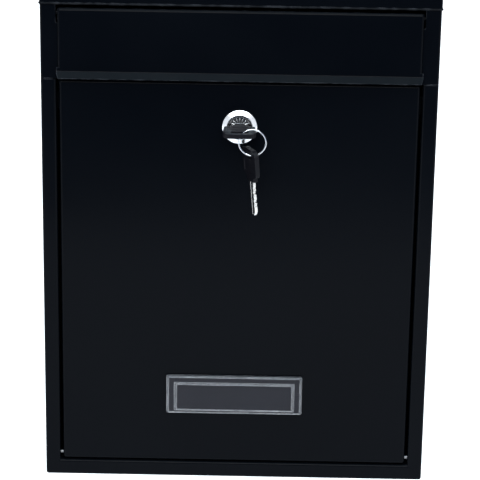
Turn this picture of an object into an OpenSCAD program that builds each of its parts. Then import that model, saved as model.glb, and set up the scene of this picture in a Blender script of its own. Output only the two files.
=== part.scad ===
// Wall mounted mailbox of folded steel sheet: a letter flap hinged over a slot, a door hinged at its
// bottom edge, a cam lock with its keys, and a clear name plate holder.
// The origin is the centre of the four wall holes, on the outer face of the back. The front faces -Y.
// Heights in the names below are measured up from the underside of the casing, and "proud" is the
// distance in front of the front borders.

/* [Casing] */
// Width over the side walls
casing_w = 260; // [240:5:300]
// Height from the underside to the top of the roof
casing_h = 350; // [340:5:420]
// Depth from the wall to the front borders
casing_d = 88; // [80:1:120]
// Thickness of the steel sheet
sheet_t = 0.8; // [0.7:0.1:1]
// Inner radius of a fold in the sheet
fold_r = 1; // [0.8:0.1:1.2]
// Width of the front border on each side
side_border = 10.2; // [9:0.1:14]
// Height of the front border under the door
bottom_border = 11.2; // [10:0.1:12]
// Depth of the fold behind the borders
border_fold = 8; // [5:0.5:10]
// Distance between the wall holes, side to side
wall_hole_dx = 180; // [120:5:200]
// Distance between the wall holes, up and down
wall_hole_dz = 240; // [160:5:260]
// Radius of a wall hole
wall_hole_r = 3; // [2.5:0.25:4]

/* [Roof and letter slot] */
// Height of the roof's front and side lips
roof_lip = 15.3; // [12:0.1:16]
// How far the roof stands proud of the casing on each side and at the front
roof_over = 0.8; // [0.8:0.1:2]
// Height of the header panel that the letter slot is cut in
header_h = 63; // [60:0.1:68]
// Width of the letter slot
slot_w = 224; // [180:2:226]
// Height of the sill of the letter slot above the header's lower edge
slot_sill = 12; // [10:0.5:14]

/* [Letter flap] */
// Width of the flap
flap_w = 237; // [200:0.5:237]
// How far the flap's face stands proud
flap_proud = 2.4; // [2.2:0.1:3]
// Length of the finger lip, measured down the front
lip_drop = 3.9; // [3:0.1:5]
// Radius of the rod that the flap hangs on
rod_r = 1.5; // [1.2:0.1:2]

/* [Door] */
// Gap between the door and each side border
side_gap = 1.9; // [1.3:0.1:2]
// Gap between the door and the bottom border
bottom_gap = 1.3; // [1.2:0.1:1.6]
// Depth of the door's folded edges
door_fold = 9; // [7:0.5:12]
// Height of the door's hinge axis
hinge_h = 16.2; // [16:0.1:19]
// Distance of the hinge axis behind the front face
hinge_back = 3; // [2.8:0.1:3.2]
// Radius of a hinge pin
pin_r = 1.2; // [1.2:0.1:1.6]

/* [Lock and keys] */
// Sideways offset of the lock
lock_x = 0.5; // [-2:0.5:2]
// Height of the lock's axis
lock_h = 254.4; // [250:0.2:258]
// Radius of the lock's flange
flange_r = 11.55; // [11:0.05:12.5]
// Length of the lock's barrel behind the front
barrel_l = 25; // [24.5:0.5:26]
// Radius of the turning plug
plug_r = 6.5; // [6:0.1:6.8]
// Distance from the lock's axis to the end of the cam
cam_reach = 39; // [36:0.5:40]
// Width of a key's bow
bow_w = 22.4; // [20:0.2:24]
// Length of a key's bow
bow_l = 22; // [20:0.5:24]
// Thickness of a key's bow
bow_t = 3; // [2.4:0.1:3]
// Length of a key's blade
blade_l = 24; // [22:0.5:24]
// Outer radius of the key ring
ring_r = 9.3; // [9:0.1:12]

/* [Name plate] */
// Width of the holder
plate_w = 92.6; // [80:0.2:110]
// Height of the holder
plate_h = 27.4; // [24:0.2:34]
// Thickness of the holder
plate_t = 2.5; // [2:0.1:3]
// Sideways offset of the holder
plate_x = -0.5; // [-2:0.5:2]
// Height of the holder's centre
plate_mid = 62.9; // [50:0.1:120]

/* [Hidden] */
$fn = 48;

front_y = -casing_d;
floor_z = -casing_h / 2;
half_w = casing_w / 2;
wall_top = casing_h - sheet_t - fold_r - 0.2;
opening_half = half_w - side_border;
fit_play = 0.02;
run_play = 0.05;

// Header, slot, rail and back
seam_h = wall_top - header_h;
seam_gap = 0.4;
header_fold = 11;
lap = 11;
notch_top = casing_h - roof_lip + 1.35;
rail_depth = barrel_l - 0.8;
rail_drop = 3;
rail_top = seam_h + slot_sill - 0.6;
back_fold = 12;
stop_back = 10.2;
stop_reach = 6;
stop_low = 262;
stop_l = 12;

// Flap, its rod and brackets
flap_top = casing_h - 17.4;
flap_bottom = seam_h + 6.2;
flap_edge = 2;
lip_half = flap_w / 2 + 0.9;
relief = 2.2;
rod_h = flap_top - 4;
rod_back = 3.2;
ear_back = 2.4;
notch_half = flap_w / 2 + 1.1;
bracket_x = notch_half + 1;
bracket_low = 12;
bracket_high = 4;
foot_w = 6;
foot_top = 5;
clip_r = 2.3;
clip_t = 0.6;

// Door and its hinge pins
door_half = opening_half - side_gap;
door_low = bottom_border + bottom_gap;
door_high = seam_h - 1;
pin_in = 4;
pin_head_r = 1.9;
pin_head_t = 1.2;

// Lock, along its axis: distances are proud of the front, so what lies behind is negative
rim_proud = 3.2;
rim_bevel = 1;
dish_r = 7.2;
dish_floor = 1.4;
plug_proud = 0.4;
barrel_r = 9;
flat_half = 8;
nut_r = 12.5;
nut_t = 3.5;
cam_near = barrel_l + 0.2;
cam_t = 1.6;
cam_hub = 8;
cam_half = 6.5;
drive_half = 3.2;
washer_near = cam_near + cam_t + 0.2;
washer_t = 0.8;
screw_near = washer_near + washer_t;
screw_r = 1.95;
wafer_near = 4;
wafer_pitch = 3;
wafer_t = 0.9;
blade_cuts = [0.6, 1.2, 0.3, 0.9, 0.6];

// Keys: a key lies with its shoulder at the origin, its blade along +Y and its bow towards -Y
bow_proud = 0.8;
neck_half = 6;
neck_l = 3;
blade_w = 6.2;
blade_t = 1.9;
blade_tip = 3;
eye_w = 12;
eye_l = 4;
eye_rim = 3;
wire = 1;
wire_depth = 1.6;
ring_x = lock_x + 8.6;
ring_proud = bow_proud + bow_l - eye_rim - eye_l / 2 - 0.2;
ring_h = lock_h - 5.4;
hang_h = ring_h - ring_r + wire / 2;
hang_play = 0.5;
spare_turn = -67;
spare_lean = -5;
spare_shift = 3.2;

// Name plate
plate_corner = 0.8;
window_half = 39.3;
window_low = 11.4;
window_high = 7;
window_deep = 0.8;
card_half = 40.5;
card_high = 11;
card_t = 0.4;
stud_x = 43.2;
stud_r = 1.4;

black = [0.06, 0.07, 0.09];
steel = [0.72, 0.73, 0.75];
chrome = [0.85, 0.86, 0.88];
zinc = [0.6, 0.6, 0.62];
grey_plastic = [0.16, 0.17, 0.18];
clear_plastic = [0.7, 0.75, 0.8, 0.5];

// ---- Sheet metal helpers ----

function unit(v) = v / norm(v);
function left_of(v) = [-v[1], v[0]];

// The points of one fold at p1, on the face that lies off to the left of the path; the sheet is t thick
// and its inner radius is r.
function fold(p0, p1, p2, off, t, r, steps = 4) =
  let (
    u = left_of(unit(p1 - p0)), v = left_of(unit(p2 - p1)),
    side = sign(u[0] * v[1] - u[1] * v[0]),
    path_r = side > 0 ? r + t : r,
    centre = p1 + side * path_r * (u + v) / (1 + u * v),
    start = atan2(u[1], u[0]), sweep = side * acos(u * v)
  )
  [for (i = [0:steps])
    let (a = start + sweep * i / steps) centre - side * (path_r - side * off) * [cos(a), sin(a)]];

function face(path, off, t, r) =
  let (n = len(path))
  concat(
    [path[0] + off * left_of(unit(path[1] - path[0]))],
    [for (i = [1:n - 2]) each fold(path[i - 1], path[i], path[i + 1], off, t, r)],
    [path[n - 1] + off * left_of(unit(path[n - 1] - path[n - 2]))]
  );

function reversed(list) = [for (i = [len(list) - 1:-1:0]) list[i]];

// A folded strip seen end on: path is its outer face, and the sheet lies to the left of it.
function folded(path) = concat(face(path, 0, sheet_t, fold_r), reversed(face(path, sheet_t, sheet_t, fold_r)));

// A closed outline with each corner rounded by its own radius.
function rounded(path, radii) =
  let (n = len(path))
  [for (i = [0:n - 1]) each fold(path[(i + n - 1) % n], path[i], path[(i + 1) % n], 0, 0, radii[i])];

function rectangle(w, h) = [[-w / 2, -h / 2], [w / 2, -h / 2], [w / 2, h / 2], [-w / 2, h / 2]];

module at(x, proud, height) translate([x, front_y - proud, floor_z + height]) children();

// Extrudes a [Y, Z] outline along X, an [X, Y] outline along Z, or an [X, Z] outline backwards along Y.
module along_x(outline, length) rotate([90, 0, 90]) linear_extrude(length, center = true) polygon(outline);
module along_z(outline, low, high) translate([0, 0, low]) linear_extrude(high - low) polygon(outline);
module along_y(outline, low, high) translate([0, high, 0]) rotate([90, 0, 0])
  linear_extrude(high - low) polygon(outline);

// A rod or hole along Y: from and to are distances proud of the front
module spindle(r, from, to) translate([0, -from, 0]) rotate([90, 0, 0]) cylinder(r = r, h = to - from);

module block(low, high) translate(low) cube(high - low);

// A block with its face at y = 0 and its foot at z = 0, whose four face edges are rounded
function bay(w, d, r) = let (a = [-w / 2, 0], b = [w / 2, 0])
  concat([a + [0, d]], fold(a + [0, d], a, b, 0, 0, r), fold(a, b, b + [0, d], 0, 0, r), [b + [0, d]]);

module tray_block(w, h, d, r) intersection() {
  along_z(bay(w, d, r), 0, h);
  along_x([for (p = bay(h, d, r)) [p[1], p[0] + h / 2]], w);
}

// ---- Casing ----

module casing_shell() color(black) at(0, 0, 0) difference() {
  union() {
    for (hand = [0, 1]) mirror([hand, 0, 0]) {
      along_z(folded([[opening_half, border_fold], [opening_half, 0], [half_w, 0], [half_w, casing_d]]),
        0, seam_h - seam_gap);
      block([half_w - sheet_t, header_fold + 0.3, 0], [half_w, casing_d, wall_top]);
    }
    along_x(folded([[border_fold, bottom_border], [0, bottom_border], [0, 0], [casing_d, 0]]),
      casing_w - 2 * sheet_t);
  }
  for (x = [-1, 1]) {
    translate([x * opening_half, 0, 0]) door_axis(pin_r + fit_play, 3);
    translate([x * (opening_half + sheet_t + 2), 0, 0]) door_axis(pin_head_r + fit_play, 4);
  }
}

module back_panel() color(black) at(0, 0, 0) difference() {
  edge = half_w - sheet_t;
  near = casing_d - back_fold;
  along_z(folded([[edge, near], [edge, casing_d], [-edge, casing_d], [-edge, near]]), sheet_t, wall_top);
  for (x = [-1, 1], z = [-1, 1])
    translate([x * wall_hole_dx / 2, casing_d, (casing_h + z * wall_hole_dz) / 2])
      rotate([90, 0, 0]) cylinder(r = wall_hole_r, h = 4, center = true);
}

module roof_lid() color(black) at(0, roof_over, casing_h) rotate([-90, 0, 0]) difference() {
  w = casing_w + 2 * roof_over;
  l = casing_d + roof_over;
  tray_block(w, l, roof_lip, fold_r + sheet_t);
  translate([0, sheet_t, sheet_t]) tray_block(w - 2 * sheet_t, l + 10, roof_lip, fold_r);
}

module header_frame() color(black) at(0, 0, 0) difference() {
  inner = half_w - sheet_t;
  right = [[half_w, 0], [half_w, header_fold - 1.8], [inner, header_fold - 0.4], [inner, header_fold + lap]];
  left = [for (p = reversed(right)) [-p[0], p[1]]];
  along_z(folded(concat(left, right)), seam_h, wall_top);
  block([-slot_w / 2, -1, seam_h + slot_sill], [slot_w / 2, 3, notch_top]);
  block([-notch_half, -1, rod_h - 6.2], [notch_half, 3, notch_top]);
}

module cross_rail() color(black) at(0, 0, 0)
  along_x(folded([[rail_depth, seam_h - rail_drop], [rail_depth, rail_top], [sheet_t, rail_top],
    [sheet_t, seam_h + 1]]), casing_w - 4 * sheet_t - 0.6);

module door_stops() color(black) at(0, 0, 0) for (hand = [0, 1]) mirror([hand, 0, 0])
  along_z(folded([[opening_half + 2 * sheet_t, 2], [opening_half + 2 * sheet_t, stop_back],
    [opening_half - stop_reach, stop_back]]), stop_low, stop_low + stop_l);

// ---- Letter flap ----

// A round bar or hole along X on the flap's rod, centred at x
module rod_axis(r, l, x = 0) translate([x, rod_back, rod_h]) rotate([0, 90, 0]) cylinder(r = r, h = l, center = true);

module flap_brackets() color(black) at(0, 0, 0) for (hand = [0, 1]) mirror([hand, 0, 0]) difference() {
  union() {
    block([bracket_x, sheet_t, rod_h - bracket_low], [bracket_x + sheet_t, rod_back + 3.5, rod_h + bracket_high]);
    block([bracket_x, sheet_t, rod_h - bracket_low], [bracket_x + foot_w, 2 * sheet_t, rod_h - foot_top]);
  }
  rod_axis(rod_r + fit_play, 6, bracket_x);
}

module flap_rod() color(black) at(0, 0, 0) rod_axis(rod_r, 2 * (bracket_x + sheet_t + clip_t + 1));

module rod_clips() color(steel) at(0, 0, 0) for (x = [-1, 1]) difference() {
  rod_axis(clip_r, clip_t, x * (bracket_x + sheet_t + clip_t / 2));
  rod_axis(rod_r + fit_play, 6, x * bracket_x);
}

module flap_panel() color(black) at(0, 0, 0) difference() {
  side_bend = fold_r + sheet_t;
  lip_end = [-flap_proud - lip_drop, flap_bottom - lip_drop];
  bend_line = [-flap_proud, flap_bottom];
  union() {
    along_x(folded([[flap_edge - flap_proud, flap_top], [-flap_proud, flap_top], bend_line, lip_end]),
      flap_w - 2 * side_bend);
    along_z(folded([[-flap_w / 2, flap_edge - flap_proud], [-flap_w / 2, -flap_proud],
      [flap_w / 2, -flap_proud], [flap_w / 2, flap_edge - flap_proud]]),
      flap_bottom + relief, flap_top - side_bend);
    intersection() {
      along_x(folded([[-flap_proud, flap_bottom + relief - 0.4], bend_line, lip_end]), 2 * lip_half);
      along_y([[-lip_half, flap_bottom + relief], [-lip_half, flap_bottom - 1], [-lip_half + 2, flap_bottom - 6],
        [lip_half - 2, flap_bottom - 6], [lip_half, flap_bottom - 1], [lip_half, flap_bottom + relief]], -12, 12);
    }
    for (x = [-1, 1]) translate([x * (flap_w - sheet_t) / 2, 0, 0])
      block([-sheet_t / 2, 1 - flap_proud, rod_h - 4], [sheet_t / 2, rod_back + ear_back, rod_h + 3]);
  }
  rod_axis(rod_r + run_play, casing_w);
}

// ---- Door ----

module door_axis(r, l) translate([0, hinge_back, hinge_h]) rotate([0, 90, 0]) cylinder(r = r, h = l, center = true);

module door_panel() color(black) at(0, 0, 0) difference() {
  w = 2 * door_half;
  h = door_high - door_low;
  translate([0, 0, door_low]) difference() {
    tray_block(w, h, door_fold, fold_r + sheet_t);
    translate([0, sheet_t, sheet_t]) tray_block(w - 2 * sheet_t, h - 2 * sheet_t, door_fold, fold_r);
  }
  door_axis(pin_r + run_play, casing_w);
  translate([lock_x, 0, lock_h]) barrel_shape(0.15, 5, -5);
  for (x = [-1, 1]) translate([plate_x + x * stud_x, 0, plate_mid]) spindle(stud_r + 0.2, -5, 5);
}

module door_pins() color(steel) at(0, 0, 0) for (hand = [0, 1]) mirror([hand, 0, 0]) {
  inner = door_half - pin_in;
  outer = opening_half + sheet_t;
  translate([(inner + outer) / 2, 0, 0]) door_axis(pin_r, outer - inner);
  translate([outer + pin_head_t / 2, 0, 0]) door_axis(pin_head_r, pin_head_t);
}

// ---- Lock ----

// The barrel's outline: round with two flats, grown by play
module barrel_shape(play, to, from) intersection() {
  spindle(barrel_r + play, from, to);
  block([-flat_half - play, -to, -barrel_r - 1], [flat_half + play, -from, barrel_r + 1]);
}

module square_bar(half, from, to) block([-half, -to, -half], [half, -from, half]);

module lock_housing() color(chrome) at(lock_x, 0, lock_h) difference() {
  union() {
    spindle(flange_r, 0, rim_proud - rim_bevel);
    translate([0, rim_bevel - rim_proud, 0]) rotate([90, 0, 0])
      cylinder(r1 = flange_r, r2 = flange_r - rim_bevel, h = rim_bevel);
    barrel_shape(0, 0.5, -barrel_l);
  }
  spindle(dish_r, dish_floor, rim_proud + 1);
  spindle(plug_r + run_play, -barrel_l - 1, rim_proud + 1);
}

module lock_nut() color(zinc) at(lock_x, 0, lock_h) difference() {
  translate([0, sheet_t, 0]) rotate([-90, 0, 0]) cylinder(r = nut_r, h = nut_t, $fn = 6);
  barrel_shape(run_play, 5, -10);
}

module lock_plug() color(chrome) at(lock_x, 0, lock_h) difference() {
  union() {
    spindle(plug_r, -barrel_l - 0.1, plug_proud);
    square_bar(drive_half, -washer_near + 0.1, -barrel_l);
  }
  block([-blade_w / 2 - 0.25, -5, -blade_t / 2 - 0.25],
    [blade_w / 2 + 0.25, blade_l - bow_proud + 0.3, blade_t / 2 + 0.25]);
  for (i = [0:len(blade_cuts) - 1]) translate([0, wafer_near + i * wafer_pitch, 0])
    cube([2 * plug_r + 1, wafer_t + 0.2, 4.6], center = true);
  spindle(screw_r + 0.05, -screw_near, -barrel_l + 1);
}

module lock_wafers() color("goldenrod") at(lock_x, 0, lock_h) for (i = [0:len(blade_cuts) - 1])
  translate([0, wafer_near + i * wafer_pitch, 0]) difference() {
    cube([12.2, wafer_t, 4.4], center = true);
    cube([blade_w + 0.8, 2, blade_t + 0.8], center = true);
  }

module lock_cam() color(zinc) at(lock_x, 0, lock_h) difference() {
  tip = -cam_reach + cam_half;
  union() {
    spindle(cam_hub, -cam_near - cam_t, -cam_near);
    block([tip, cam_near, -cam_half], [0, cam_near + cam_t, cam_half]);
    translate([tip, 0, 0]) spindle(cam_half, -cam_near - cam_t, -cam_near);
  }
  square_bar(drive_half + 0.1, -cam_near - 5, 0);
}

module cam_washer() color(zinc) at(lock_x, 0, lock_h) difference() {
  spindle(5.5, -washer_near - washer_t, -washer_near);
  spindle(screw_r + 0.1, -washer_near - 5, 0);
}

module cam_screw() color(steel) at(lock_x, 0, lock_h) difference() {
  union() {
    spindle(screw_r, -screw_near, -barrel_l + 0.8);
    spindle(3.6, -screw_near - 2.2, -screw_near);
  }
  for (turn = [0, 90]) rotate([0, turn, 0]) translate([0, screw_near + 2.2, 0]) cube([4.4, 2, 0.9], center = true);
}

// ---- Keys ----

module bow() {
  eye_mid = -bow_l + eye_rim + eye_l / 2;
  half = bow_w / 2;
  outline = [[-neck_half, 0], [-neck_half, -neck_l], [-half + 1, -neck_l - 1.2], [-half, -bow_l],
    [half, -bow_l], [half - 1, -neck_l - 1.2], [neck_half, -neck_l], [neck_half, 0]];
  color(grey_plastic) linear_extrude(bow_t, center = true) difference() {
    polygon(rounded(outline, [0.4, 0.8, 2, 5, 5, 2, 0.8, 0.4]));
    translate([0, eye_mid]) polygon(rounded(rectangle(eye_w, eye_l), [1.8, 1.8, 1.8, 1.8]));
  }
}

// The blade's two edges carry a cut at each wafer.
module blade() {
  half = blade_w / 2;
  edge = [for (i = [0:len(blade_cuts) - 1])
    let (y = bow_proud + wafer_near + i * wafer_pitch, d = blade_cuts[i])
    each [[half, y - 0.7 - d / 2], [half - d, y - 0.6], [half - d, y + 0.6], [half, y + 0.7 + d / 2]]];
  right = concat([[half, 0]], edge, [[half, blade_l - blade_tip], [1, blade_l]]);
  color(steel) linear_extrude(blade_t, center = true)
    polygon(concat(right, [for (p = reversed(right)) [-p[0], p[1]]]));
}

module in_lock() at(lock_x, bow_proud, lock_h) children();

module on_ring() at(ring_x, ring_proud, hang_h) rotate([0, spare_lean, 0]) rotate([0, 0, spare_turn])
  rotate([-90, 0, 0]) translate([-spare_shift, bow_l - eye_rim - wire / 2 - hang_play, 0]) children();

module key_bow() in_lock() bow();
module key_blade() in_lock() blade();
module spare_key_bow() on_ring() bow();
module spare_key_blade() on_ring() blade();

module key_ring() color(chrome) at(ring_x, ring_proud, ring_h) rotate([90, 0, 0])
  rotate_extrude($fn = 72) translate([ring_r - wire / 2, 0]) square([wire, wire_depth], center = true);

// ---- Name plate ----

module nameplate_holder() color(clear_plastic) at(plate_x, 0, plate_mid) difference() {
  union() {
    along_y(rounded(rectangle(plate_w, plate_h), [1, 1, 1, 1] * plate_corner), -plate_t, 0);
    for (x = [-1, 1]) translate([x * stud_x, 0, 0]) spindle(stud_r, -4, 0.5);
  }
  block([-window_half, -plate_t - 1, -window_low], [window_half, window_deep - plate_t, window_high]);
  block([-card_half - 0.5, -window_deep, -card_high - 0.4], [card_half + 0.5, 0.5, card_high + 0.4]);
}

module name_card() color(grey_plastic) at(plate_x, 0, plate_mid)
  block([-card_half, -0.1 - card_t, -card_high], [card_half, -0.1, card_high]);

module nameplate_clips() color(steel) at(plate_x, 0, plate_mid)
  for (x = [-1, 1]) translate([x * stud_x, 0, 0]) difference() {
    spindle(3.4, -sheet_t - 0.8, -sheet_t);
    spindle(stud_r + fit_play, -5, 1);
  }

casing_shell();
back_panel();
roof_lid();
header_frame();
cross_rail();
flap_brackets();
flap_rod();
rod_clips();
flap_panel();
door_panel();
door_pins();
door_stops();
lock_housing();
lock_nut();
lock_plug();
lock_wafers();
lock_cam();
cam_washer();
cam_screw();
key_bow();
key_blade();
key_ring();
spare_key_bow();
spare_key_blade();
nameplate_holder();
name_card();
nameplate_clips();
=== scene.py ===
import bmesh
import bpy
from math import acos, atan2, cos, pi, radians, sin
from mathutils import Matrix, Vector


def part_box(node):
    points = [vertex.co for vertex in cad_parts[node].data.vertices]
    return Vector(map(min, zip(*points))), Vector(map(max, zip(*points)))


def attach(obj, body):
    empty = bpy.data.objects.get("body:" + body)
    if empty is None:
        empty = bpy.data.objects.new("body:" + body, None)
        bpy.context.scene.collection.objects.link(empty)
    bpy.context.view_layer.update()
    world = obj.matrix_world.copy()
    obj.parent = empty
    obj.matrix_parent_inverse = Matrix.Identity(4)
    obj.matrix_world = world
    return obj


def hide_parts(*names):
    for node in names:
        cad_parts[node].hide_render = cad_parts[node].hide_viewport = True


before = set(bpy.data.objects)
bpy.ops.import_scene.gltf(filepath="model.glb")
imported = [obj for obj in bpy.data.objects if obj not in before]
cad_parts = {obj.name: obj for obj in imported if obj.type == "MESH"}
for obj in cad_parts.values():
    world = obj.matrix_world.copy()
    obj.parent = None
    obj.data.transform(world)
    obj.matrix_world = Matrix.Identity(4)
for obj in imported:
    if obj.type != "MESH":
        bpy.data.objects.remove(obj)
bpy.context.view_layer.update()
print("frame loaded")

mm = 0.001
sheet = {"thickness": 0.8 * mm, "foldRadius": 1 * mm, "steps": 6}
outerFold = sheet["thickness"] + sheet["foldRadius"]
casingLow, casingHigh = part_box("casing_shell")
doorLow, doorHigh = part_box("door_panel")
frontY = doorLow.y
floorZ = casingLow.z
halfWidth = casingHigh.x


# Outline maths

def leftOf(v):
    return Vector((-v.y, v.x))


def bend(before, corner, after, offset, thickness, radius, steps):
    # Points of one fold, on the face that lies off to the left of the path
    u = leftOf((corner - before).normalized())
    v = leftOf((after - corner).normalized())
    side = 1 if u.x * v.y - u.y * v.x > 0 else -1
    pathRadius = radius + thickness if side > 0 else radius
    dot = max(-1, min(1, u.dot(v)))
    centre = corner + side * pathRadius * (u + v) / (1 + dot)
    start = atan2(u.y, u.x)
    points = []
    for i in range(steps + 1):
        a = start + side * acos(dot) * i / steps
        points.append(centre - side * (pathRadius - side * offset) * Vector((cos(a), sin(a))))
    return points


def sheetFace(path, offset):
    path = [Vector(p) for p in path]
    points = [path[0] + offset * leftOf((path[1] - path[0]).normalized())]
    for i in range(1, len(path) - 1):
        points += bend(path[i - 1], path[i], path[i + 1], offset, sheet["thickness"],
                       sheet["foldRadius"], sheet["steps"])
    points.append(path[-1] + offset * leftOf((path[-1] - path[-2]).normalized()))
    return points


def foldedSheet(path):
    # The closed outline of a folded strip seen end on; the sheet lies to the left of the path
    return sheetFace(path, 0) + sheetFace(path, sheet["thickness"])[::-1]


def rounded(corners, radii, steps=6):
    corners = [Vector(c) for c in corners]
    count = len(corners)
    points = []
    for i in range(count):
        if radii[i] > 0:
            points += bend(corners[i - 1], corners[i], corners[(i + 1) % count], 0, 0, radii[i], steps)
        else:
            points.append(corners[i])
    return points


def rectangle(left, low, right, high):
    return [(left, low), (right, low), (right, high), (left, high)]


def roundedRectangle(left, low, right, high, radius, steps=6):
    return rounded(rectangle(left, low, right, high), [radius] * 4, steps)


def roundCorner(x, y, side, radius):
    # The round corner of a half outline: its leg comes in from above (side 1) or below (side -1)
    return bend(Vector((x, y + side)), Vector((x, y)), Vector((x + 1, y)), 0, 0, radius, 6)


def mirrored(half):
    return half + [Vector((-q.x, q.y)) for q in half[::-1]]


def insetRadius(inset, radius=outerFold):
    # A fold's radius shrinks towards the inside of the sheet, but never quite to a point
    return max(0.05 * mm, radius - inset)


def edgeArc(radius, steps=6):
    # (inset, depth) round the outside of a fold, from the side wall to the face
    turns = [i / steps * pi / 2 for i in range(steps + 1)]
    return [(radius * (1 - cos(a)), radius * (1 - sin(a))) for a in turns]


def traySection(rim, faceInset, setIn=0):
    # (inset, depth) from the rim over the outside to the face, then along the inside back to the rim
    t = sheet["thickness"]
    outer = rim + [(setIn + i, d) for i, d in edgeArc(outerFold - setIn)] + [(faceInset, 0)]
    inner = [(t, d) for i, d in rim] + [(t + i, t + d) for i, d in edgeArc(sheet["foldRadius"])]
    return outer + (inner + [(faceInset, t)])[::-1]


def asDrawn(p, z):
    return Vector((p[0], p[1], z))


def standing(p, y):
    return Vector((p[0], y, p[1]))


# Mesh helpers

def closeUp(bm):
    bmesh.ops.remove_doubles(bm, verts=bm.verts, dist=1e-6)
    bmesh.ops.dissolve_degenerate(bm, dist=1e-7, edges=bm.edges)
    bmesh.ops.recalc_face_normals(bm, faces=bm.faces)


def toObject(bm, name):
    closeUp(bm)
    mesh = bpy.data.meshes.new(name)
    bm.to_mesh(mesh)
    bm.free()
    made = bpy.data.objects.new(name, mesh)
    bpy.context.scene.collection.objects.link(made)
    return made


def capEnds(bm, rows):
    # The section's outer half and inner half are joined by strips at both ends of the rows
    for end in (0, -1):
        for i in range(len(rows) // 2 - 1):
            k = len(rows) - 1 - i
            bm.faces.new((rows[i][end], rows[i + 1][end], rows[k - 1][end], rows[k][end]))


def joinRows(bm, near, far, closed=False):
    count = len(near)
    for i in range(count if closed else count - 1):
        j = (i + 1) % count
        bm.faces.new((near[i], near[j], far[j], far[i]))


def makeStrip(points):
    # A folded sheet with open ends, from rows of points that go once round its section
    bm = bmesh.new()
    rows = [[bm.verts.new(p) for p in row] for row in points]
    for near, far in zip(rows, rows[1:] + rows[:1]):
        joinRows(bm, near, far)
    capEnds(bm, rows)
    return bm


def makeTray(points, closed):
    # A folded tray, from rows of points that follow traySection. Without closed it's open on one side.
    bm = bmesh.new()
    rows = [[bm.verts.new(p) for p in row] for row in points]
    middle = len(rows) // 2
    for i, near in enumerate(rows):
        if i + 1 != middle:
            joinRows(bm, near, rows[(i + 1) % len(rows)], closed)
    face, back = rows[middle - 1], rows[middle]
    bm.faces.new(face)
    bm.faces.new(back)
    if not closed:
        capEnds(bm, rows)
        bm.faces.new((face[0], face[-1], back[-1], back[0]))
    return bm


def extrude(outline, place, low, high):
    bm = bmesh.new()
    near = [bm.verts.new(place(p, low)) for p in outline]
    far = [bm.verts.new(place(p, high)) for p in outline]
    bm.faces.new(near)
    bm.faces.new(far)
    joinRows(bm, near, far, True)
    return bm


def extrudeSheet(path, place, low, high):
    # A folded strip whose ends are quads between its two faces
    outline = foldedSheet(path)
    bm = bmesh.new()
    near = [bm.verts.new(place(p, low)) for p in outline]
    far = [bm.verts.new(place(p, high)) for p in outline]
    joinRows(bm, near, far, True)
    count = len(outline)
    for end in (near, far):
        for i in range(count // 2 - 1):
            bm.faces.new((end[i], end[i + 1], end[count - 2 - i], end[count - 1 - i]))
    return bm


def lathe(profile, place, segments=96):
    # profile is a closed list of (radius, distance along the axis)
    bm = bmesh.new()
    rings = []
    for i in range(segments):
        a = 2 * pi * i / segments
        rings.append([bm.verts.new(place((r * cos(a), r * sin(a)), d)) for r, d in profile])
    for near, far in zip(rings, rings[1:] + rings[:1]):
        joinRows(bm, near, far, True)
    return bm


def evaluated(made):
    # The object's mesh with its modifiers applied; the object itself goes
    bpy.context.view_layer.update()
    depsgraph = bpy.context.evaluated_depsgraph_get()
    mesh = bpy.data.meshes.new_from_object(made.evaluated_get(depsgraph))
    name = made.name
    bpy.data.objects.remove(made)
    mesh.name = name
    result = bpy.data.objects.new(name, mesh)
    bpy.context.scene.collection.objects.link(result)
    return result


def combine(made, others, operation):
    for other in others:
        cut = made.modifiers.new(operation.lower(), "BOOLEAN")
        cut.operation = operation
        cut.solver = "EXACT"
        cut.object = other
    result = evaluated(made)
    for other in others:
        bpy.data.objects.remove(other)
    return result


def box(low, high):
    return toObject(extrude(rectangle(low[0], low[1], high[0], high[1]), asDrawn, low[2], high[2]), "cutter")


def rod(centre, axis, radius, length, segments=48):
    turn = Vector((0, 0, 1)).rotation_difference(Vector(axis)).to_matrix()
    ring = [(radius * cos(2 * pi * i / segments), radius * sin(2 * pi * i / segments))
            for i in range(segments)]
    return toObject(extrude(ring, lambda p, d: Vector(centre) + turn @ Vector((p[0], p[1], d)),
                            -length / 2, length / 2), "cutter")


def finishPiece(made, name, material, body, nodes, bevel=0.2 * mm, segments=2, sharp=50):
    # Breaks the sharp edges, then shades smooth across everything flatter than sharp
    bm = bmesh.new()
    bm.from_mesh(made.data)
    closeUp(bm)
    bmesh.ops.dissolve_limit(bm, angle_limit=radians(0.5), verts=bm.verts, edges=bm.edges)
    bm.to_mesh(made.data)
    bm.free()
    if bevel:
        edge = made.modifiers.new("brokenEdges", "BEVEL")
        edge.width = bevel
        edge.segments = segments
        edge.limit_method = "ANGLE"
        edge.angle_limit = radians(35)
        edge.use_clamp_overlap = True
        made = evaluated(made)
    made.name = name
    made.data.name = name
    bm = bmesh.new()
    bm.from_mesh(made.data)
    closeUp(bm)
    for face in bm.faces:
        face.smooth = True
    for e in bm.edges:
        e.smooth = len(e.link_faces) != 2 or e.calc_face_angle(0) < radians(sharp)
    bm.to_mesh(made.data)
    bm.free()
    weighted = made.modifiers.new("flatFaces", "WEIGHTED_NORMAL")
    weighted.keep_sharp = True
    made.data.materials.clear()
    made.data.materials.append(material)
    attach(made, body)
    if nodes:
        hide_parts(*nodes)
    return made


# Node helpers

def addNode(tree, kind, **settings):
    node = tree.nodes.new(kind)
    for key, value in settings.items():
        setattr(node, key, value)
    return node


def feed(tree, source, target):
    tree.links.new(source, target)


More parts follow.
